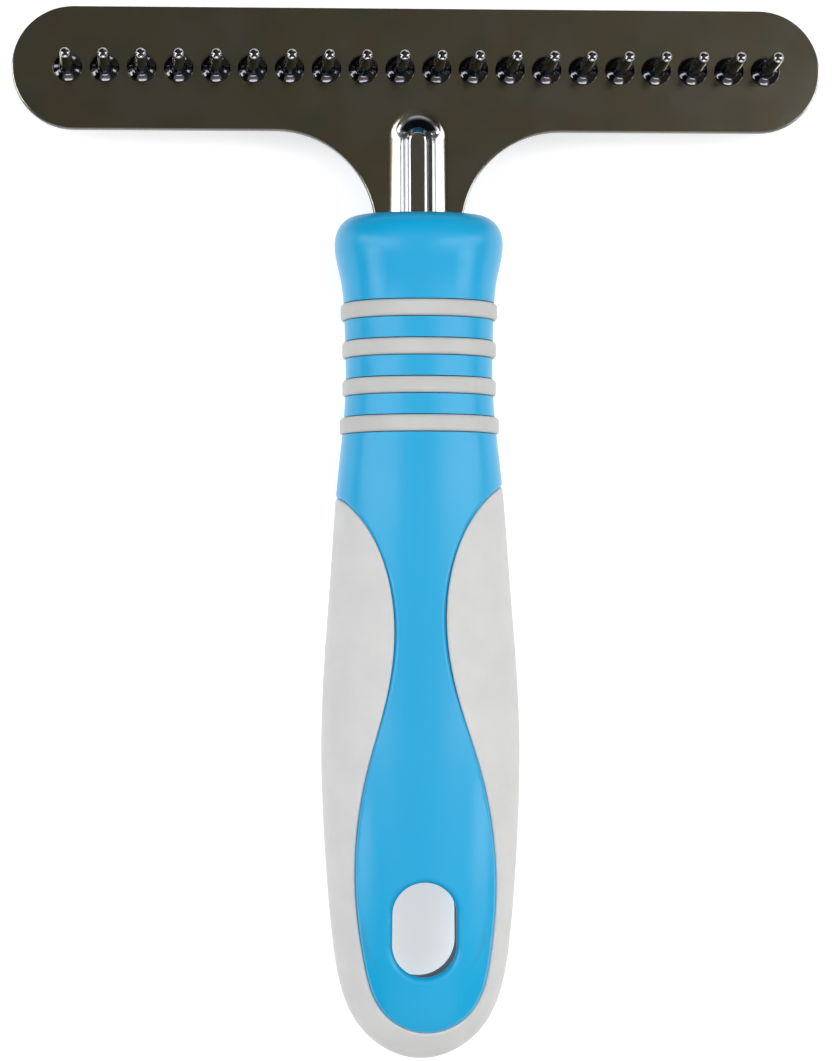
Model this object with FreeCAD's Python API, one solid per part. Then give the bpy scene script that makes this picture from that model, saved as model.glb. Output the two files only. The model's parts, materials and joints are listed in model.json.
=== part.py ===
"""Dematting comb: a T-shaped pressed steel head with a row of free-turning pins, on a two-colour moulded handle.

The comb lies on its back, with its pins pointing up. +Z is the way the pins point, +Y runs along the handle towards
the head, and X runs along the row of pins. The origin is below the middle of the comb, on the surface it lies on.
All sizes are in millimetres.
"""

import FreeCAD
import Part
import math
import os

V = FreeCAD.Vector

# ---------------------------------------------------------------- driving dimensions
LENGTH = 142.0                  # whole comb, end of the handle to the top of the head
HEAD_WIDTH = 110.0
HEAD_HEIGHT = 16.7
SHEET = 1.5                     # thickness of the pressed steel head, which lies in the handle's middle plane
EDGE_R = 0.18                   # the head's tumbled edges

STEM_HALF = 5.9                 # half the width of the stem and tang
STEM_FILLET = 13.5              # the large curve between the head and the stem
TANG_END = -4.0                 # how far down the handle the tang reaches
TANG_CORNER = 3.0
LOCK_HOLE_R = 2.2               # holes in the tang that the handle's plastic fills
LOCK_HOLES_AT = (24.0, 10.0, 2.0)

GROOVE_HALF = 3.95              # pressed stiffening groove: half its width, measured where it leaves the flat
GROOVE_SLOPE = math.radians(60.0)
SHOULDER_R = 2.3
FLOOR_R = 0.5
FLOOR_HALF = 0.9
GROOVE_TOP = 53.3               # centre of the groove's rounded upper end
GROOVE_BOTTOM = 33.0            # and of its lower end, hidden in the handle

PIN_COUNT = 20
PIN_PITCH = 5.0
PIN_ABOVE = 12.0                # from the face of the head to the tip
PIN_ROOT_R = 1.05
PIN_TIP_R = 0.7
PIN_HOLE_R = 1.1                # running clearance on the pin's journal
PIN_PLAY = 0.05                 # end play under the collar and over the peened tail
COLLAR_R = 2.0
COLLAR_EDGE = 0.35              # straight edge of the collar below its cone
COLLAR_TOP = 1.1                # where the cone meets the pin's shank
COLLAR_CROWN = (0.79, 0.55)     # a point the slightly full cone passes: shares of the collar's radius and height
TAIL_R = 1.6                    # peened tail behind the head
TAIL_HEIGHT = 0.7
TAIL_LAND = 0.12                # straight edge of the tail, below its round

HANDLE_POWER = 2.25             # superellipse power of every section: 2 is an ellipse, more is squarer
WALL = 2.2                      # thickness of the soft grip over the core
SECTION_POINTS = 24

BAND_COUNT = 4
BAND_TOP = 29.5                 # middle of the band nearest the head
BAND_PITCH = 5.15
BAND_WIDTH = 2.2
BAND_PROUD = 0.4
BAND_DEPTH = 1.1
BAND_EDGE_R = 0.45
BAND_SEAM = 0.12                # open seam each side of a band

HOLE_AT = -53.4                 # middle of the hanging hole
HOLE_HALF_WIDTH = 4.2           # its half width and length at the front face
HOLE_LENGTH = 12.5
HOLE_DRAFT = math.radians(3.0)  # the mould pin came out at the back, so the hole widens that way
HOLE_FACE = 8.8                 # height of the front face there, above the middle plane
HOLE_LIP_R = 0.8

THROUGH = 14.0                  # more than half the handle's depth, for cuts that go right through
HEAD_TOP = LENGTH / 2
HEAD_MIDDLE = HEAD_TOP - HEAD_HEIGHT / 2
HEAD_BOTTOM = HEAD_TOP - HEAD_HEIGHT
FACE = SHEET / 2                # front face of the steel head

# The handle's outer shape as stations along it: place, half width, half depth.
STATIONS = (
    (42.5, 8.8, 6.8),
    (41.9, 10.1, 8.1),
    (40.4, 11.15, 9.2),
    (38.2, 11.4, 9.55),
    (34.0, 10.6, 8.9),
    (28.0, 10.1, 8.4),
    (20.0, 9.95, 8.2),
    (12.5, 10.5, 8.4),
    (6.0, 11.2, 8.7),
    (-6.0, 12.1, 8.95),
    (-20.0, 13.1, 9.2),
    (-30.0, 13.4, 9.3),
    (-38.0, 13.2, 9.2),
    (-46.0, 12.75, 8.9),
    (-55.0, 11.95, 8.2),
    (-61.0, 10.95, 7.3),
    (-65.2, 9.35, 6.1),
    (-68.2, 7.0, 4.5),
    (-70.2, 4.0, 2.5),
    (-71.0, 1.3, 0.8),
)

# Half outline of the blue land between the grey grips, from the shoulder of the grip down to the toe.
LAND = (
    (12.2, 5.9),
    (7.15, 0.9),
    (4.4, -5.6),
    (3.5, -13.4),
    (4.5, -21.5),
    (7.6, -32.7),
    (9.35, -47.5),
    (8.45, -57.2),
    (5.6, -64.8),
    (0.0, -67.3),
)
LAND_TURN = 1.15                # the land's outline is turned this many degrees in the plane of the head
LAND_PIVOT = -35.0              # about this place on the handle's middle line
LAND_RIM_R = 0.7                # rounding of the land's edge
GRIP_RIM_R = 0.3                # and of the grip's edge beside it

# How far the blue land stands above the grip, or below it at the waist, at places along the handle.
LAND_LIFT = ((6.0, 0.0), (-8.0, -0.4), (-20.0, -0.3), (-32.0, 0.25), (-46.0, 0.45), (-60.0, 0.4), (-71.0, 0.0))


def land_lift(y):
    for (y1, lift1), (y2, lift2) in zip(LAND_LIFT, LAND_LIFT[1:]):
        if y1 >= y >= y2:
            return lift1 + (lift2 - lift1) * (y1 - y) / (y1 - y2)
    return 0.0


def ring(y, half_width, half_depth):
    """One closed superellipse section across the handle."""
    points = []
    for i in range(SECTION_POINTS):
        turn = 2 * math.pi * i / SECTION_POINTS
        c, s = math.cos(turn), math.sin(turn)
        x = half_width * math.copysign(abs(c) ** (2 / HANDLE_POWER), c)
        z = half_depth * math.copysign(abs(s) ** (2 / HANDLE_POWER), s)
        points.append(V(x, y, z))
    curve = Part.BSplineCurve()
    curve.interpolate(Points=points, PeriodicFlag=True)
    return Part.Wire(curve.toShape())


def loft(stations):
    return Part.makeLoft([ring(*s) for s in stations], True, False)


def prism(wire, low, high):
    """A flat closed wire at z = 0, stood up between two heights."""
    face = Part.Face(wire)
    face.translate(V(0, 0, low))
    return face.extrude(V(0, 0, high - low))


def sized_at(y):
    """Half width and half depth of the handle at a place, by straight interpolation between its stations."""
    for (y1, w1, d1), (y2, w2, d2) in zip(STATIONS, STATIONS[1:]):
        if y1 >= y >= y2:
            t = (y1 - y) / (y1 - y2)
            return w1 + t * (w2 - w1), d1 + t * (d2 - d1)
    raise ValueError(y)


# ---------------------------------------------------------------- steel head
def half_edges(side):
    """The head's outline on one side, from the top of the rounded end to the foot of the tang."""
    end = HEAD_WIDTH / 2 - HEAD_HEIGHT / 2
    r = STEM_FILLET
    corner = STEM_HALF + r
    root = HEAD_BOTTOM - r
    diagonal = r * math.sqrt(0.5)
    small = TANG_CORNER * (1 - math.sqrt(0.5))
    return [
        Part.Arc(
            V(side * end, HEAD_TOP, 0), V(side * HEAD_WIDTH / 2, HEAD_MIDDLE, 0), V(side * end, HEAD_BOTTOM, 0)
        ).toShape(),
        Part.makeLine(V(side * end, HEAD_BOTTOM, 0), V(side * corner, HEAD_BOTTOM, 0)),
        Part.Arc(
            V(side * corner, HEAD_BOTTOM, 0),
            V(side * (corner - diagonal), root + diagonal, 0),
            V(side * STEM_HALF, root, 0),
        ).toShape(),
        Part.makeLine(V(side * STEM_HALF, root, 0), V(side * STEM_HALF, TANG_END + TANG_CORNER, 0)),
        Part.Arc(
            V(side * STEM_HALF, TANG_END + TANG_CORNER, 0),
            V(side * (STEM_HALF - small), TANG_END + small, 0),
            V(side * (STEM_HALF - TANG_CORNER), TANG_END, 0),
        ).toShape(),
    ]


def head_outline():
    end = HEAD_WIDTH / 2 - HEAD_HEIGHT / 2
    foot = STEM_HALF - TANG_CORNER
    edges = half_edges(1) + half_edges(-1)
    edges.append(Part.makeLine(V(-end, HEAD_TOP, 0), V(end, HEAD_TOP, 0)))
    edges.append(Part.makeLine(V(-foot, TANG_END, 0), V(foot, TANG_END, 0)))
    return Part.Wire(Part.__sortEdges__(edges))


def groove_section():
    """Half the groove's cross-section as a face in X and Z: the sheet dips from the flat to the groove's floor."""
    a = GROOVE_SLOPE
    half = a / 2
    shoulder_x = GROOVE_HALF - SHOULDER_R * math.sin(a)
    shoulder_z = -SHOULDER_R * (1 - math.cos(a))
    toe_x = FLOOR_HALF + FLOOR_R * math.sin(a)
    wall = shoulder_x - toe_x
    toe_z = shoulder_z - wall * math.tan(a)
    floor_z = toe_z - FLOOR_R * (1 - math.cos(a))
    shoulder_centre = V(GROOVE_HALF, 0, -SHOULDER_R)
    floor_centre = V(FLOOR_HALF, 0, floor_z + FLOOR_R)

    def on_shoulder(radius, angle):
        return shoulder_centre + V(-radius * math.sin(angle), 0, radius * math.cos(angle))

    def on_floor(radius, angle):
        return floor_centre + V(radius * math.sin(angle), 0, -radius * math.cos(angle))

    inner, outer = SHOULDER_R - SHEET, FLOOR_R + SHEET
    edges = [
        Part.Arc(on_shoulder(SHOULDER_R, 0), on_shoulder(SHOULDER_R, half), on_shoulder(SHOULDER_R, a)).toShape(),
        Part.makeLine(on_shoulder(SHOULDER_R, a), on_floor(FLOOR_R, a)),
        Part.Arc(on_floor(FLOOR_R, a), on_floor(FLOOR_R, half), on_floor(FLOOR_R, 0)).toShape(),
        Part.makeLine(on_floor(FLOOR_R, 0), V(0, 0, floor_z)),
        Part.makeLine(V(0, 0, floor_z), V(0, 0, floor_z - SHEET)),
        Part.makeLine(V(0, 0, floor_z - SHEET), on_floor(outer, 0)),
        Part.Arc(on_floor(outer, 0), on_floor(outer, half), on_floor(outer, a)).toShape(),
        Part.makeLine(on_floor(outer, a), on_shoulder(inner, a)),
        Part.Arc(on_shoulder(inner, a), on_shoulder(inner, half), on_shoulder(inner, 0)).toShape(),
        Part.makeLine(on_shoulder(inner, 0), on_shoulder(SHOULDER_R, 0)),
    ]
    return Part.Face(Part.Wire(Part.__sortEdges__(edges)))


def groove():
    """The pressed groove: a straight trough between two half-turned ends."""
    section = groove_section()
    other = section.mirror(V(0, 0, 0), V(1, 0, 0))
    run = GROOVE_TOP - GROOVE_BOTTOM
    pieces = []
    for face in (section, other):
        start = face.copy()
        start.translate(V(0, GROOVE_BOTTOM, FACE))
        pieces.append(start.extrude(V(0, run, 0)))
    for y, turn in ((GROOVE_TOP, 180), (GROOVE_BOTTOM, -180)):
        end = section.copy()
        end.translate(V(0, y, FACE))
        pieces.append(end.revolve(V(0, y, 0), V(0, 0, 1), turn))
    return pieces


def outline_edges(plate):
    """The plate's outer edges on its two faces: all but those of the groove, which stays inside GROOVE_HALF."""
    chosen = []
    for edge in plate.Edges:
        box = edge.BoundBox
        flat = box.ZLength < 0.01 and min(abs(box.ZMin - FACE), abs(box.ZMin - FACE + SHEET)) < 0.01
        outside = max(abs(box.XMin), abs(box.XMax)) > STEM_HALF - TANG_CORNER + 0.01 and not in_groove(box)
        if flat and (outside or abs(box.YMin - TANG_END) < 0.01):
            chosen.append(edge)
    return chosen


def in_groove(box):
    reach = GROOVE_HALF + 0.05
    above = box.YMin > GROOVE_BOTTOM - reach and box.YMax < GROOVE_TOP + reach
    return above and box.XMin > -reach and box.XMax < reach


def head_plate():
    blank = prism(head_outline(), FACE - SHEET, FACE)
    opening = Part.makeBox(2 * GROOVE_HALF, GROOVE_TOP - GROOVE_BOTTOM, 2 * SHEET)
    opening.translate(V(-GROOVE_HALF, GROOVE_BOTTOM, FACE - 1.5 * SHEET))
    blank = blank.cut(opening)
    for y in (GROOVE_TOP, GROOVE_BOTTOM):
        blank = blank.cut(Part.makeCylinder(GROOVE_HALF, 2 * SHEET, V(0, y, FACE - 1.5 * SHEET)))
    plate = blank.multiFuse(groove()).removeSplitter()
    plate = plate.makeFillet(EDGE_R, outline_edges(plate))
    for i in range(PIN_COUNT):
        plate = plate.cut(Part.makeCylinder(PIN_HOLE_R, 2 * SHEET, V(pin_x(i), HEAD_MIDDLE, FACE - 1.5 * SHEET)))
    for y in LOCK_HOLES_AT:
        plate = plate.cut(Part.makeCylinder(LOCK_HOLE_R, 2 * SHEET, V(0, y, FACE - 1.5 * SHEET)))
    return plate


# ---------------------------------------------------------------- pins
def pin_x(i):
    return (i - (PIN_COUNT - 1) / 2) * PIN_PITCH


def pin():
    """One turned pin about the Z axis, with z = 0 at the face of the head: tail, journal, coned collar and shank."""
    back = -SHEET - PIN_PLAY
    tail = back - TAIL_HEIGHT
    tip_z = PIN_ABOVE - PIN_TIP_R
    crown = V(COLLAR_R * COLLAR_CROWN[0], 0, COLLAR_EDGE + (COLLAR_TOP - COLLAR_EDGE) * COLLAR_CROWN[1])
    diagonal = PIN_TIP_R * math.sqrt(0.5)
    edges = [
        Part.Arc(
            V(0, 0, tail), V(TAIL_R * 0.62, 0, tail + TAIL_HEIGHT * 0.16), V(TAIL_R, 0, back - TAIL_LAND)
        ).toShape(),
        Part.makeLine(V(TAIL_R, 0, back - TAIL_LAND), V(TAIL_R, 0, back)),
        Part.makeLine(V(TAIL_R, 0, back), V(PIN_ROOT_R, 0, back)),
        Part.makeLine(V(PIN_ROOT_R, 0, back), V(PIN_ROOT_R, 0, PIN_PLAY)),
        Part.makeLine(V(PIN_ROOT_R, 0, PIN_PLAY), V(COLLAR_R, 0, PIN_PLAY)),
        Part.makeLine(V(COLLAR_R, 0, PIN_PLAY), V(COLLAR_R, 0, COLLAR_EDGE)),
        Part.Arc(V(COLLAR_R, 0, COLLAR_EDGE), crown, V(PIN_ROOT_R, 0, COLLAR_TOP)).toShape(),
        Part.makeLine(V(PIN_ROOT_R, 0, COLLAR_TOP), V(PIN_TIP_R, 0, tip_z)),
        Part.Arc(V(PIN_TIP_R, 0, tip_z), V(diagonal, 0, tip_z + diagonal), V(0, 0, PIN_ABOVE)).toShape(),
        Part.makeLine(V(0, 0, PIN_ABOVE), V(0, 0, tail)),
    ]
    return Part.Face(Part.Wire(Part.__sortEdges__(edges))).revolve(V(0, 0, 0), V(0, 0, 1), 360)


# ---------------------------------------------------------------- handle
def land_prism():
    """Everything inside the land's outline, and the whole neck above it, stood up through the handle."""
    right = [V(x, y, 0) for x, y in LAND]
    left = [V(-x, y, 0) for x, y in reversed(LAND[:-1])]
    curve = Part.BSplineCurve()
    curve.interpolate(Points=right + left)
    shoulder_x, shoulder_y = LAND[0]
    wide = HEAD_WIDTH / 4
    top = HEAD_TOP
    outline = [
        curve.toShape(),
        Part.makeLine(V(-shoulder_x, shoulder_y, 0), V(-wide, shoulder_y, 0)),
        Part.makeLine(V(-wide, shoulder_y, 0), V(-wide, top, 0)),
        Part.makeLine(V(-wide, top, 0), V(wide, top, 0)),
        Part.makeLine(V(wide, top, 0), V(wide, shoulder_y, 0)),
        Part.makeLine(V(wide, shoulder_y, 0), V(shoulder_x, shoulder_y, 0)),
    ]
    body = prism(Part.Wire(Part.__sortEdges__(outline)), -THROUGH, THROUGH)
    body.rotate(V(0, LAND_PIVOT, 0), V(0, 0, 1), LAND_TURN)
    return body


def under_grip():
    """The core where the soft grip covers it: the handle's shape, one grip thickness smaller."""
    inner = [(10.0, *[s - WALL for s in sized_at(10.0)])]
    for y, w, d in STATIONS:
        if 8.0 > y > -66.7:
            inner.append((y, w - WALL, d - WALL))
    inner.append((-68.6, 3.0, 2.0))
    return loft(inner)


def band_places():
    return [BAND_TOP - i * BAND_PITCH for i in range(BAND_COUNT)]


def slab(y, half_width, half_depth, width=BAND_WIDTH):
    """A slice of superellipse one band wide."""
    face = Part.Face(ring(y - width / 2, half_width, half_depth))
    return face.extrude(V(0, width, 0))


def band(y):
    w, d = sized_at(y)
    outer = slab(y, w + BAND_PROUD, d + BAND_PROUD)
    outer = outer.makeFillet(BAND_EDGE_R, [e for e in outer.Edges if e.Length > 2 * BAND_WIDTH])
    return outer.cut(slab(y, w - BAND_DEPTH, d - BAND_DEPTH))


def band_seat(y):
    w, d = sized_at(y)
    width = BAND_WIDTH + 2 * BAND_SEAM
    return slab(y, w + WALL, d + WALL, width).cut(slab(y, w - BAND_DEPTH, d - BAND_DEPTH, width))


def hole_wire(z):
    """The hanging hole's round-ended outline at one height."""
    r = HOLE_HALF_WIDTH + (HOLE_FACE - z) * math.tan(HOLE_DRAFT)
    straight = HOLE_LENGTH / 2 - HOLE_HALF_WIDTH
    top, bottom = HOLE_AT + straight, HOLE_AT - straight
    return Part.Wire([
        Part.Arc(V(r, top, z), V(0, top + r, z), V(-r, top, z)).toShape(),
        Part.makeLine(V(-r, top, z), V(-r, bottom, z)),
        Part.Arc(V(-r, bottom, z), V(0, bottom - r, z), V(r, bottom, z)).toShape(),
        Part.makeLine(V(r, bottom, z), V(r, top, z)),
    ])


def hanging_hole():
    return Part.makeLoft([hole_wire(-THROUGH), hole_wire(THROUGH)], True, True)


def size_ratio(point):
    """1 on the handle's outer skin, less inside it."""
    w, d = sized_at(point.y)
    return (abs(point.x) / w) ** HANDLE_POWER + (abs(point.z) / d) ** HANDLE_POWER


def rim_edges(shape, land_wall):
    """The edges where the upright wall along the land's outline meets the outside of the handle."""
    chosen = []
    for edge in shape.Edges:
        middle = edge.valueAt((edge.FirstParameter + edge.LastParameter) / 2)
        on_wall = land_wall.distToShape(Part.Vertex(middle))[0] < 0.01
        if on_wall and STATIONS[-1][0] < middle.y < 10.0 and size_ratio(middle) > 0.9:
            chosen.append(edge)
    return chosen


def soften_lip(core):
    """Round the two edges where the hanging hole breaks out of the land."""
    spread = 2 * HOLE_FACE * math.tan(HOLE_DRAFT) + 0.2
    reach = HOLE_LENGTH / 2 + spread
    side = HOLE_HALF_WIDTH + spread
    lip = []
    for edge in core.Edges:
        box = edge.BoundBox
        inside = box.XMax < side and box.XMin > -side and box.YMax < HOLE_AT + reach and box.YMin > HOLE_AT - reach
        upright = box.ZLength > 2 * HOLE_LIP_R
        if inside and not upright:
            lip.append(edge)
    return core.makeFillet(HOLE_LIP_R, lip)


def handle(plate):
    """The blue core with its seats and hanging hole cut, and the grey grip that covers its sides and toe."""
    skin = loft(STATIONS)
    raised = loft([(y, w, d + land_lift(y)) for y, w, d in STATIONS])
    land = land_prism()
    inner = under_grip()
    core = raised.common(land).fuse(inner).removeSplitter()
    grip = skin.cut(land).cut(inner)
    wall = land.Shells[0]
    grip = grip.makeFillet(GRIP_RIM_R, rim_edges(grip, wall))
    core = core.makeFillet(LAND_RIM_R, rim_edges(core, wall))
    core = soften_lip(core.cut(hanging_hole()))
    for y in band_places():
        core = core.cut(band_seat(y))
    return core.cut(plate), grip


# ---------------------------------------------------------------- export
def export(name, shape):
    solids = shape.Solids
    if not solids:
        raise RuntimeError(f"{name} holds no solid")
    made = solids[0] if len(solids) == 1 else Part.makeCompound(solids)
    made.exportStep(f"parts/{name}.step")
    box = made.BoundBox
    print(
        f"{name:16s} solids {len(solids)} valid {made.isValid()} volume {made.Volume:9.1f}"
        f"  x {box.XMin:6.1f} {box.XMax:6.1f}  y {box.YMin:6.1f} {box.YMax:6.1f}  z {box.ZMin:5.2f} {box.ZMax:5.2f}"
    )


os.makedirs("parts", exist_ok=True)
plate_solid = head_plate()
core_solid, grip_solid = handle(plate_solid)
shapes = {"head_plate": plate_solid, "handle_core": core_solid, "side_grip": grip_solid}
for i, y in enumerate(band_places()):
    shapes[f"neck_band_{i + 1}"] = band(y)
for i in range(PIN_COUNT):
    shapes[f"pin_{i + 1:02d}"] = pin()
    shapes[f"pin_{i + 1:02d}"].translate(V(pin_x(i), HEAD_MIDDLE, FACE))

# The comb was drawn about its middle plane. It lies on the lowest point of its handle.
lowest = core_solid.optimalBoundingBox().ZMin
for name, shape in shapes.items():
    shape.translate(V(0, 0, -lowest))
    export(name, shape)
print(f"middle plane at {-lowest:.3f}")
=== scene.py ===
# %% [markdown]
# # A dematting comb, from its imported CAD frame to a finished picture
#
# The comb is a flat polished head with twenty steel pins that turn freely, on a moulded handle of blue plastic with
# a soft grey grip. Its sizes and its joints were settled in CAD, so this lesson adds only what CAD leaves out: the
# turned shape of the pins, the finish of every part, the light and the camera. Everything is in metres. The comb
# lies on its back on a table, with its pins pointing up along +Z and its head towards +Y.

# %% Load the frame
import json
import math

import bpy
from mathutils import Matrix, Vector


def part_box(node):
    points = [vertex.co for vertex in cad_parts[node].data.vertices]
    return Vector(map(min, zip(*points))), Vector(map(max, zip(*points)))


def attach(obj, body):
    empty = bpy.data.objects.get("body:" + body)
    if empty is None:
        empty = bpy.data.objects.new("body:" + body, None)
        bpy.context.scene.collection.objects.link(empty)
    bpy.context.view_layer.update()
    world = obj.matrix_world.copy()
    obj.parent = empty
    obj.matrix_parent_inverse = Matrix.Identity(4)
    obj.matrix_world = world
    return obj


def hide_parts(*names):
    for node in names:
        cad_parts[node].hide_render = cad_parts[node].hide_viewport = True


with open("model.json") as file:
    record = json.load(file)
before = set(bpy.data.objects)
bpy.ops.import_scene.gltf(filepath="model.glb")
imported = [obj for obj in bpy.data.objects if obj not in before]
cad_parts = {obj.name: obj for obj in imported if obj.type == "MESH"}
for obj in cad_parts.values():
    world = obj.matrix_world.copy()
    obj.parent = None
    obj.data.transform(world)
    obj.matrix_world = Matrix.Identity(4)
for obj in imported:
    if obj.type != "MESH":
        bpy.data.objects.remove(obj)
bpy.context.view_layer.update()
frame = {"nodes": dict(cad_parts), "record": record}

nodes = frame["nodes"]

# %% [markdown]
# ## The camera
#
# A comb like this is shown from straight above, from about half a metre, which is close enough for the pins at the
# ends of the row to lean outwards. The camera is set a little to the left of the comb's middle and a little towards
# its toe, and looks back at the middle. Its three axes are written straight into a matrix, because a camera that
# looks down has no natural "up" of its own.

# %% Camera
MM = 0.001
CAMERA_PLACE = Vector((-32.0, -21.0, 510.3)) * MM
CAMERA_AIM = Vector((-0.40, -0.06, 10.3)) * MM
CAMERA_TURN = math.radians(0.20)
SENSOR_HEIGHT = 36.0
LENS = 125.85

bpy.ops.object.camera_add(location=CAMERA_PLACE)
camera = bpy.context.object
camera.name = "camera"
back = (CAMERA_PLACE - CAMERA_AIM).normalized()
across = Vector((math.sin(CAMERA_TURN), math.cos(CAMERA_TURN), 0)).cross(back).normalized()
up = back.cross(across)
camera.matrix_world = Matrix.Translation(CAMERA_PLACE) @ Matrix((across, up, back)).transposed().to_4x4()
camera.data.sensor_fit = "VERTICAL"
camera.data.sensor_height = SENSOR_HEIGHT
camera.data.lens = LENS
camera.data.clip_start = 10 * MM
bpy.context.scene.camera = camera
bpy.context.scene.view_settings.view_transform = "Standard"
print("camera", round((CAMERA_PLACE - CAMERA_AIM).length, 3), "m from the middle of the comb")

# %% [markdown]
# ## The light table
#
# Small shiny tools are often laid on a light table: white acrylic that glows a little from below, so that shadows
# fade and the hanging hole isn't a dark pit. A plane with a weak emission does the same. It lies a hair under the
# comb, so that the two never share a surface.

# %% Light table
TABLE_SIZE = 6.0
TABLE_DROP = 0.2 * MM
TABLE_GLOW = 0.52

bpy.ops.object.select_all(action="DESELECT")
bpy.ops.mesh.primitive_plane_add(size=TABLE_SIZE, location=(0, 0, -TABLE_DROP))
table = bpy.context.object
table.name = "light_table"
acrylic = bpy.data.materials.new("white_acrylic")
acrylic.use_nodes = True
shader = acrylic.node_tree.nodes["Principled BSDF"]
shader.inputs["Base Color"].default_value = (0.78, 0.78, 0.785, 1)
shader.inputs["Roughness"].default_value = 0.7
shader.inputs["Emission Color"].default_value = (1, 1, 1, 1)
shader.inputs["Emission Strength"].default_value = TABLE_GLOW
table.data.materials.append(acrylic)
print("light table", TABLE_SIZE, "m wide")

# %% [markdown]
# ## The lamps
#
# Polished metal shows its surroundings, so the lamps are placed for what they draw in it. The flat head has to see
# nothing bright overhead. The pressed groove in its stem has shoulders that look left and right, and two tall
# strips there draw the groove's white lines and the soft streaks along the neck of the handle. Two shorter lamps
# level with the palm draw the streaks further down. Three low lamps, at the toe, at the left and beyond the head, are
# there for the sparks on the pins' collars. Once the pins exist, those lamps are linked to them alone, so that they
# leave no spots on the plastic. A wide dim glow beyond the toe keeps that end from going dull. One large lamp
# overhead lights the plastic, and is hidden from reflections.
#
# A lamp's power is set by how bright it looks rather than by its watts, so that its size can change without
# changing its reflection.

# %% Lamps
LAMP_AIM = Vector((0, 0.01, 0.01))


def lamp(name, place, size, brightness, shown_in_gloss=True):
    """An area lamp that looks at the comb. Its first size runs across, its second up and down."""
    place = Vector(place)
    bpy.ops.object.light_add(type="AREA", location=place)
    made = bpy.context.object
    made.name = name
    made.data.shape = "RECTANGLE"
    made.data.size, made.data.size_y = size
    made.data.energy = brightness * math.pi * size[0] * size[1]
    made.rotation_euler = (LAMP_AIM - place).to_track_quat("-Z", "Y").to_euler()
    made.visible_glossy = shown_in_gloss
    print(f"{name:14s} {made.data.energy:6.2f} W")
    return made


lamp("left_strip", (-0.52, 0.13, 0.50), (0.15, 0.86), 3.6)
lamp("right_strip", (0.52, 0.13, 0.50), (0.15, 0.86), 3.6)
lamp("left_palm", (-0.58, -0.09, 0.44), (0.16, 0.30), 4.4)
lamp("right_palm", (0.58, -0.09, 0.44), (0.16, 0.30), 4.4)
lamp("toe_glow", (0.0, -0.65, 0.55), (0.90, 0.50), 0.6)
lamp("overhead", (0.0, 0.05, 1.1), (1.3, 1.3), 1.56, shown_in_gloss=False)
pin_lamps = [
    lamp("toe_lamp", (0.02, -0.66, 0.25), (0.50, 0.24), 6.0),
    lamp("low_lamp", (-0.62, -0.22, 0.22), (0.20, 0.16), 6.0),
    lamp("far_lamp", (0.25, 0.72, 0.26), (0.36, 0.16), 4.0),
]

# %% [markdown]
# ## The room
#
# What the metal sees between the lamps is a dim olive room, a little lighter towards the right, as if a window were
# there. The camera sees a pale backdrop instead, which matters only when it looks along the table.

# %% Room
ROOM = (0.084, 0.078, 0.060, 1)
BACKDROP = (0.86, 0.86, 0.86, 1)
WINDOW_SPREAD = 0.35            # how far to each side the room goes from its dark to its light level
DARK_SIDE, LIGHT_SIDE = 0.28, 1.46

world = bpy.data.worlds.new("room")
bpy.context.scene.world = world
world.use_nodes = True
room = world.node_tree
room_light = room.nodes["Background"]
room_light.inputs["Color"].default_value = ROOM
direction = room.nodes.new("ShaderNodeTexCoord")
split = room.nodes.new("ShaderNodeSeparateXYZ")
window = room.nodes.new("ShaderNodeMapRange")
window.inputs["From Min"].default_value = -WINDOW_SPREAD
window.inputs["From Max"].default_value = WINDOW_SPREAD
window.inputs["To Min"].default_value = DARK_SIDE
window.inputs["To Max"].default_value = LIGHT_SIDE
room.links.new(direction.outputs["Generated"], split.inputs["Vector"])
room.links.new(split.outputs["X"], window.inputs["Value"])
room.links.new(window.outputs["Result"], room_light.inputs["Strength"])
backdrop = room.nodes.new("ShaderNodeBackground")
backdrop.inputs["Color"].default_value = BACKDROP
which = room.nodes.new("ShaderNodeLightPath")
choose = room.nodes.new("ShaderNodeMixShader")
room.links.new(which.outputs["Is Camera Ray"], choose.inputs["Fac"])
room.links.new(room_light.outputs["Background"], choose.inputs[1])
room.links.new(backdrop.outputs["Background"], choose.inputs[2])
room.links.new(choose.outputs["Shader"], room.nodes["World Output"].inputs["Surface"])
print("room set")

# %% [markdown]
# ## Writing finishes as arithmetic
#
# A finish is a network of nodes, and a drawing of it hides the sum that it works out. Here a small class holds one
# socket and gives it +, - and *, so that an expression such as 1 - 0.2 * grain builds its Math nodes by itself.
# A second class holds one material and adds every other node with one method.

# %% Values that add up
class Value:
    """One number that varies over a surface: a socket with arithmetic."""

    def __init__(self, finish, socket):
        self.finish = finish
        self.socket = socket

    def maths(self, operation, *others):
        node = self.finish.add("ShaderNodeMath", {"operation": operation}, [self, *others])
        return Value(self.finish, node.outputs[0])

    def __add__(self, other):
        return self.maths("ADD", other)

    def __sub__(self, other):
        return self.maths("SUBTRACT", other)

    def __rsub__(self, other):
        return (self * -1.0) + other

    def __mul__(self, other):
        return self.maths("MULTIPLY", other)

    __radd__ = __add__
    __rmul__ = __mul__

    def between(self, low, high):
        """0 below low, 1 above high, and a smooth ramp from one to the other."""
        node = self.finish.add(
            "ShaderNodeMapRange",
            {"interpolation_type": "SMOOTHSTEP"},
            {"Value": self, "From Min": low, "From Max": high},
        )
        return Value(self.finish, node.outputs["Result"])


# %% Materials made with one method
FIRST_COLOUR, SECOND_COLOUR, MIXED_COLOUR = 6, 7, 2     # sockets of a Mix node that are shown when it mixes colours


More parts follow.
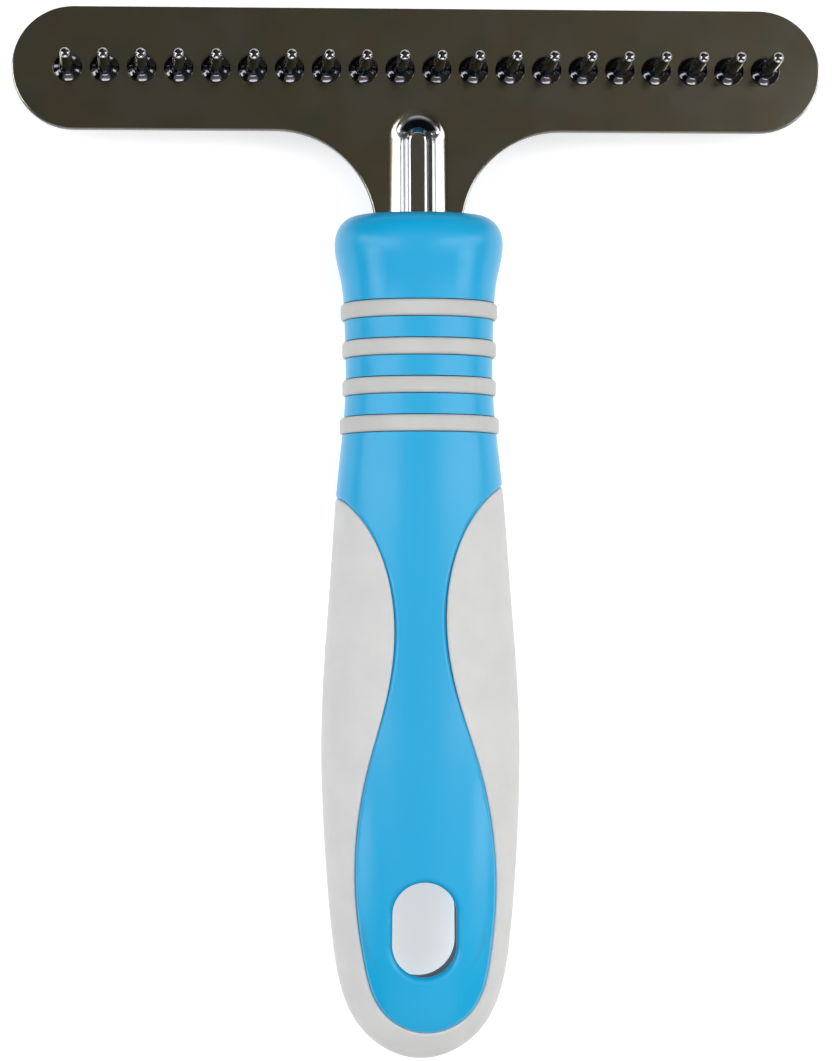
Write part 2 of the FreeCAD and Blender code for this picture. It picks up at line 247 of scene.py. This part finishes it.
class Finish:
    """One material and the nodes in it."""

    def __init__(self, name):
        self.material = bpy.data.materials.new(name)
        self.material.use_nodes = True
        self.tree = self.material.node_tree
        self.shader = self.tree.nodes["Principled BSDF"]
        self.object_place = self.add("ShaderNodeTexCoord").outputs["Object"]

    def add(self, kind, settings=(), sockets=()):
        """A node of a kind: its settings first, then the values or links of its sockets, by name or in order."""
        node = self.tree.nodes.new(kind)
        for setting, value in dict(settings).items():
            setattr(node, setting, value)
        pairs = sockets.items() if isinstance(sockets, dict) else enumerate(sockets)
        for key, value in pairs:
            self.feed(node.inputs[key], value)
        return node

    def feed(self, target, value):
        """Link a socket to a value that varies, or set it to one that doesn't."""
        if isinstance(value, Value):
            value = value.socket
        if isinstance(value, bpy.types.NodeSocket):
            self.tree.links.new(value, target)
        else:
            target.default_value = value

    def noise(self, size, stretch=(1, 1, 1), detail=2.0, seed=0.0):
        """Cloudy noise with features of about this size in metres, drawn out along an axis by stretch."""
        placed = self.add(
            "ShaderNodeMapping",
            {},
            {"Vector": self.object_place, "Location": (seed, seed, seed), "Scale": [1 / s for s in stretch]},
        )
        node = self.add(
            "ShaderNodeTexNoise",
            {},
            {"Vector": placed.outputs["Vector"], "Scale": 1 / size, "Detail": detail},
        )
        return Value(self, node.outputs["Fac"])

    def along(self, axis):
        """How far along X, Y or Z a point is, in metres."""
        parts = self.add("ShaderNodeSeparateXYZ", {}, {"Vector": self.object_place})
        return Value(self, parts.outputs[axis])

    def blend(self, share, first, second):
        """A colour between two others."""
        node = self.add("ShaderNodeMix", {"data_type": "RGBA"}, {"Factor": share})
        self.feed(node.inputs[FIRST_COLOUR], first)
        self.feed(node.inputs[SECOND_COLOUR], second)
        return node.outputs[MIXED_COLOUR]

    def relief(self, heights, depth):
        """Bump for the shader: heights from 0 to 1, with depth in metres between them."""
        bump = self.add("ShaderNodeBump", {}, {"Height": heights, "Strength": 1.0, "Distance": depth})
        self.feed(self.shader.inputs["Normal"], bump.outputs["Normal"])

    def paint(self, **looks):
        """Give the shader its looks, each by the name of its socket."""
        for name, value in looks.items():
            self.feed(self.shader.inputs[name.replace("_", " ")], value)
        print(f"{self.material.name:20s} {len(self.tree.nodes)} nodes")
        return self.material


# %% [markdown]
# ## The head's polished plate
#
# The head is pressed from sheet steel, plated and polished. It reads as a dark olive mirror with soft patches of
# brown, green and neutral grey a few millimetres across, where the plating is a touch thicker or thinner. Three
# clouds of noise choose between four tints. The polish leaves hair lines along the bar, far too shallow to see
# except as a faint drag in the reflections, so they go into roughness and into a bump of under a micron. The plating
# is thinner and more neutral in the pressed groove. The groove's closed end is painted almost black and made rougher
# as painted shade, and the sheared edges of the sheet are painted the same way as a painted dark reflection.

# %% Plate finish
CORNER_FROM_TOP = 17.0 * MM             # the groove's closed end, from the top of the head
SUNKEN = (0.02 * MM, 0.20 * MM)         # depths between which the face turns into the groove
# Depth below the face where the painted dark reflection on the sheet's edges begins, and below, where the painted
# shade at the groove's end fades in
DARK_EDGE_DEPTH = 0.08 * MM
WALL_STARTS = (0.10 * MM, 0.50 * MM)    # and the depths between which the groove's wall starts and stops
WALL_STOPS = (1.5 * MM, 1.9 * MM)
BESIDE_GROOVE = (4.15 * MM, 4.3 * MM)   # from the middle line
ABOVE_GROOVE = (3.6 * MM, 3.9 * MM)     # from the groove's closed end
CORNER_SHADE_FADE = 0.5 * MM
HAIR_DEPTH = 0.0004 * MM

plate = Finish("polished_plate")
broad = plate.noise(11 * MM, detail=1.0)
warm = plate.noise(7 * MM, detail=1.5, seed=4.0)
hair = plate.noise(0.25 * MM, stretch=(40, 1, 1), detail=3.0, seed=2.0)
cloudy = plate.noise(4 * MM, seed=7.0)
neutral_to_olive = plate.blend(broad.between(0.38, 0.62), (0.60, 0.58, 0.54, 1), (0.57, 0.55, 0.43, 1))
brown_to_green = plate.blend(cloudy.between(0.35, 0.65), (0.60, 0.52, 0.42, 1), (0.50, 0.52, 0.44, 1))
plate_tint = plate.blend(warm.between(0.42, 0.66), neutral_to_olive, brown_to_green)

groove_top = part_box("head_plate")[1].y - CORNER_FROM_TOP
face_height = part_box("head_plate")[1].z
depth_below = face_height - plate.along("Z")
sunken = depth_below.between(*SUNKEN)
beside_groove = plate.along("X").maths("ABSOLUTE").between(*BESIDE_GROOVE)
above_groove = (plate.along("Y") - groove_top).between(*ABOVE_GROOVE)
# Painted dark reflection: the sheared edges of the sheet, painted almost black
painted_dark_edge = beside_groove.maths("MAXIMUM", above_groove) * depth_below.between(0.0, DARK_EDGE_DEPTH)
wall = depth_below.between(*WALL_STARTS) * (1.0 - depth_below.between(*WALL_STOPS))
# Painted shade: the groove's closed end, painted almost black
painted_corner_shade = wall * plate.along("Y").between(groove_top, groove_top + CORNER_SHADE_FADE)
# Both painted marks together: the painted shade and the painted dark reflection
painted_dark = painted_corner_shade.maths("MAXIMUM", 0.85 * painted_dark_edge)
bright_tint = plate.blend(sunken, plate_tint, (0.64, 0.64, 0.66, 1))
plate.relief(hair, HAIR_DEPTH)
plate_material = plate.paint(
    # Painted shade and painted dark reflection, in almost black
    Base_Color=plate.blend(painted_dark, bright_tint, (0.02, 0.02, 0.025, 1)),
    Metallic=1.0,
    Roughness=0.085 + 0.05 * hair + 0.03 * cloudy + 0.3 * painted_dark,
)

# %% [markdown]
# ## The pins' turned steel
#
# Each pin is turned on a lathe and plated in dark chrome. The tool leaves fine rings, so the pattern depends only on
# height along the pin. Coats of pets polish the tips until they are much brighter than the collars. A little cloudy
# roughness keeps twenty pins from looking like twenty copies.

# %% Pin finish
RING_PITCH = 0.22 * MM
RING_DEPTH = 0.0006 * MM
TIP_POLISH = 1.2 * MM                   # how far down from the tip the polish reaches

turned = Finish("turned_chrome")
pin_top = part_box("pin_01")[1].z
rings = (turned.along("Z") * (2 * math.pi / RING_PITCH)).maths("SINE")
haze = turned.noise(1.2 * MM, seed=1.0)
polished = turned.along("Z").between(pin_top - TIP_POLISH, pin_top)
plating = turned.blend(haze, (0.075, 0.075, 0.085, 1), (0.13, 0.13, 0.14, 1))
turned.relief(rings * 0.5 + 0.5, RING_DEPTH)
turned_material = turned.paint(
    Base_Color=turned.blend(polished, plating, (0.37, 0.37, 0.38, 1)),
    Metallic=1.0,
    Roughness=0.05 + 0.07 * haze,
)

# %% [markdown]
# ## The handle's blue plastic
#
# The core is moulded in one go from a satin blue plastic. Its mould was spark eroded, which leaves a grain of about
# a quarter of a millimetre. The grain is what softens the lamps into broad streaks, and handling polishes it in
# places, so roughness wanders a little. The colour drifts by a few percent, as flow lines do in a real moulding.
# Inside the hanging hole the wall is painted dark blue-grey as painted shade, and its roughness is raised there.

# %% Blue finish
GRAIN_DEPTH = 0.006 * MM
# Heights, depths and reach that bound the painted shade on the hanging hole's wall
BACK_CLEAR = (1.0 * MM, 2.5 * MM)       # heights over the handle's back between which the hole's wall turns dull
FRONT_CLEAR = (2.2 * MM, 3.6 * MM)      # and depths under its front
HOLE_REACH = (8.0 * MM, 8.4 * MM)       # from the hole's middle, a little beyond its wall

blue = Finish("satin_blue")
flow = blue.noise(16 * MM, stretch=(1, 3, 1))
grain = blue.noise(0.28 * MM, seed=3.0)
worn = blue.noise(6 * MM, detail=3.0, seed=5.0)
blue.relief(grain, GRAIN_DEPTH)

hole_y = frame["record"]["mounts"][0]["pos_m"][1]
core_low, core_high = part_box("handle_core")
off_axis = (blue.along("X").maths("POWER", 2.0) + (blue.along("Y") - hole_y).maths("POWER", 2.0)).maths("SQRT")
over_back = (blue.along("Z") - core_low.z).between(*BACK_CLEAR)
under_front = (core_high.z - blue.along("Z")).between(*FRONT_CLEAR)
# Painted shade: the hanging hole's wall
painted_hole_shade = over_back * under_front * (1.0 - off_axis.between(*HOLE_REACH))
skin = blue.blend(flow.between(0.3, 0.7), (0.004, 0.380, 0.715, 1), (0.008, 0.405, 0.745, 1))
blue_material = blue.paint(
    # Painted shade on the hole's wall, in dark blue-grey
    Base_Color=blue.blend(painted_hole_shade, skin, (0.05, 0.15, 0.22, 1)),
    Metallic=0.0,
    Roughness=0.25 + 0.06 * worn + 0.04 * grain + 0.4 * painted_hole_shade,
)

# %% [markdown]
# ## The soft grey grip
#
# The grip is a rubbery plastic moulded over the core. It is matte, pale grey and slightly mottled, with a finer
# grain than the core's and a faint velvet sheen at a glancing angle. The four neck bands are the same stuff made a
# little darker, so one function makes both.

# %% Grip finish
PORE_DEPTH = 0.010 * MM


def soft_touch(name, dull, fresh, seed):
    """A matte rubbery finish that wanders between two colours."""
    soft = Finish(name)
    mottle = soft.noise(4.5 * MM, detail=3.0, seed=seed)
    pores = soft.noise(0.2 * MM, seed=seed + 2.0)
    soft.relief(pores, PORE_DEPTH)
    return soft.paint(
        Base_Color=soft.blend(mottle.between(0.3, 0.7), dull, fresh),
        Metallic=0.0,
        Roughness=0.60 + 0.12 * pores,
        Sheen_Weight=0.15,
        Sheen_Roughness=0.5,
    )


grip_material = soft_touch("soft_grey", (0.625, 0.63, 0.635, 1), (0.665, 0.665, 0.67, 1), 6.0)
band_material = soft_touch("band_grey", (0.54, 0.545, 0.54, 1), (0.58, 0.585, 0.58, 1), 9.0)

# %% [markdown]
# ## Dressing the CAD parts
#
# The head, the core, the grip and the four neck bands already have the right shape, rounded edges and all, so they
# stay and only get their finish. The plain CAD pins get theirs too, though turned pins will soon stand for them.

# %% Dress the CAD parts
dress = {"head_plate": plate_material, "handle_core": blue_material, "side_grip": grip_material}
for name, node in nodes.items():
    finish = turned_material if name.startswith("pin_") else dress.get(name, band_material)
    node.data.materials.clear()
    node.data.materials.append(finish)
print("finishes on", len(nodes), "CAD parts")

# %% [markdown]
# ## One turned pin
#
# A real pin starts as a steel rod in a lathe. Spinning a profile would do it too, but building it up ring by ring
# is closer to turning: a disc is added at the pin's tail, and each step extrudes it upwards and scales it to the
# next radius of the profile. The profile has what the CAD pin leaves out: a chamfer under the collar, a soft edge
# round it, a hollow where its cone runs into the shank, a tip that is blunt rather than round, and a tail closed like
# a rivet. Radius and height are in millimetres, with height 0 at the face of the head.

# %% Pin profile
PIN_SIDES = 40
SHARP_EDGE = math.radians(35)   # edges that fold more than this stay crisp
TIP_RADIUS = 0.7
TIP_HEIGHT = 12.0
TIP_RINGS = 8
TIP_ROUND = 0.46                # rounding of the tip's edge
TIP_CROWN = 0.02                # how far the blunt end rises inside that
TIP_FLAT = 0.03                 # the last ring, almost a point

PROFILE = [
    (0.30, -2.25), (0.80, -2.21), (1.20, -2.10), (1.45, -1.92), (1.56, -1.78), (1.60, -1.65), (1.57, -1.56),
    (1.05, -1.55), (1.05, 0.05), (1.92, 0.05), (2.00, 0.12), (2.00, 0.34), (1.98, 0.43), (1.92, 0.51),
    (1.76, 0.63), (1.58, 0.76), (1.42, 0.87), (1.30, 0.95), (1.19, 1.02), (1.11, 1.12), (1.06, 1.30),
    (1.04, 1.70), (0.88, 6.5), (0.74, 11.0),
]
tip_edge = TIP_HEIGHT - TIP_CROWN - TIP_ROUND
for i in range(TIP_RINGS + 1):
    angle = math.radians(90.0) * i / TIP_RINGS
    PROFILE.append((TIP_RADIUS - TIP_ROUND + TIP_ROUND * math.cos(angle), tip_edge + TIP_ROUND * math.sin(angle)))
PROFILE.append((TIP_FLAT, TIP_HEIGHT))
print("pin profile of", len(PROFILE), "rings")

# %% Turn the pin
low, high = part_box("pin_01")
face = high.z - TIP_HEIGHT * MM
centre = Vector(((low.x + high.x) / 2, (low.y + high.y) / 2, face))

bpy.ops.object.select_all(action="DESELECT")
radius, height = PROFILE[0]
bpy.ops.mesh.primitive_circle_add(
    vertices=PIN_SIDES, radius=radius * MM, fill_type="NGON", location=centre + Vector((0, 0, height * MM))
)
first_pin = bpy.context.object
bpy.ops.object.mode_set(mode="EDIT")
bpy.ops.mesh.select_all(action="SELECT")
for next_radius, next_height in PROFILE[1:]:
    step = (0, 0, (next_height - height) * MM)
    bpy.ops.mesh.extrude_region_move(TRANSFORM_OT_translate={"value": step})
    ratio = next_radius / radius
    bpy.ops.transform.resize(value=(ratio, ratio, 1), center_override=centre + Vector((0, 0, next_height * MM)))
    radius, height = next_radius, next_height
bpy.ops.mesh.select_all(action="SELECT")
bpy.ops.mesh.normals_make_consistent(inside=False)
bpy.ops.object.mode_set(mode="OBJECT")
bpy.ops.object.transform_apply(location=True, rotation=True, scale=True)
bpy.ops.object.shade_smooth_by_angle(angle=SHARP_EDGE)
print("one pin has", len(first_pin.data.polygons), "faces")

# %% [markdown]
# The row is the first pin copied along X. Each copy has its own mesh and rides on its own body, so every pin turns
# by itself. Each stands for the plain CAD pin in the same place.

# %% Twenty pins
turned_pins = {"pin_01": first_pin}
for name in sorted(n for n in nodes if n.startswith("pin_") and n != "pin_01"):
    bpy.ops.object.select_all(action="DESELECT")
    first_pin.select_set(True)
    bpy.context.view_layer.objects.active = first_pin
    bpy.ops.object.duplicate(linked=False)
    copy = bpy.context.object
    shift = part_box(name)[0] - low
    bpy.ops.transform.translate(value=(shift.x, shift.y, 0))
    bpy.ops.object.transform_apply(location=True, rotation=True, scale=True)
    turned_pins[name] = copy
for name, pin in turned_pins.items():
    pin.name = "turned_" + name
    pin.data.materials.clear()
    pin.data.materials.append(turned_material)
    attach(pin, name + "_body")
    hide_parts(name)
print(len(turned_pins), "turned pins")

# %% [markdown]
# Now that the pins exist, the three low lamps are linked to them. A lamp's receivers are the objects of a collection.

# %% Lamps for the pins alone
lit_pins = bpy.data.collections.new("lit_pins")
for pin in turned_pins.values():
    lit_pins.objects.link(pin)
for pin_lamp in pin_lamps:
    pin_lamp.light_linking.receiver_collection = lit_pins
